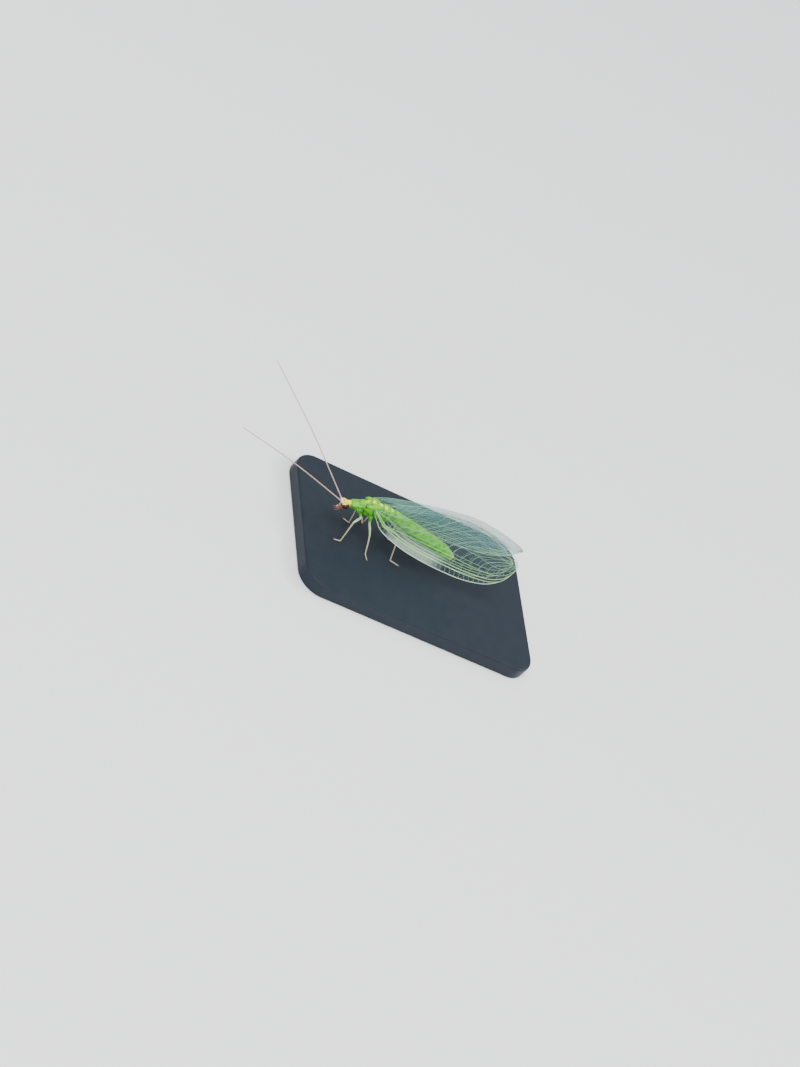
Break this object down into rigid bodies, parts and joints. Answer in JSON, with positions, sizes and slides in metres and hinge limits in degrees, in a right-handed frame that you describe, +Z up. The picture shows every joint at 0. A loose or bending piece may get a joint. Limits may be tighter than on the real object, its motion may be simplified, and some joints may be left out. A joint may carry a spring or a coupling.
{
  "type": "green lacewing model",
  "caption": "Life-size still green lacewing at rest: slender green body, wings folded like a roof, long antennae held forward, on a thin plain base.",
  "frame": {"origin": "centre of the whole model's footprint, on the underside of the base", "axes": "+Z up; +Y from the head towards the tail and wing tips; +X to the insect's left"},
  "size_m": [0.014, 0.0314, 0.0092],
  "materials": {
    "head": "satin",
    "thorax": "satin",
    "abdomen": "satin",
    "eye": "glossy",
    "antenna": "matte",
    "leg": "satin",
    "wing": "glossy",
    "stand": "satin"
  },
  "bodies": {
    "root": {"head": "head", "prothorax": "thorax", "mesothorax": "thorax", "metathorax": "thorax", "abdomen": "abdomen", "eye_left": "eye", "antenna_left": "antenna", "foreleg_left": "leg", "midleg_left": "leg", "hindleg_left": "leg", "forewing_left": "wing", "hindwing_left": "wing", "eye_right": "eye", "antenna_right": "antenna", "foreleg_right": "leg", "midleg_right": "leg", "hindleg_right": "leg", "forewing_right": "wing", "hindwing_right": "wing", "stand_base": "stand"}
  },
  "joints": []
}
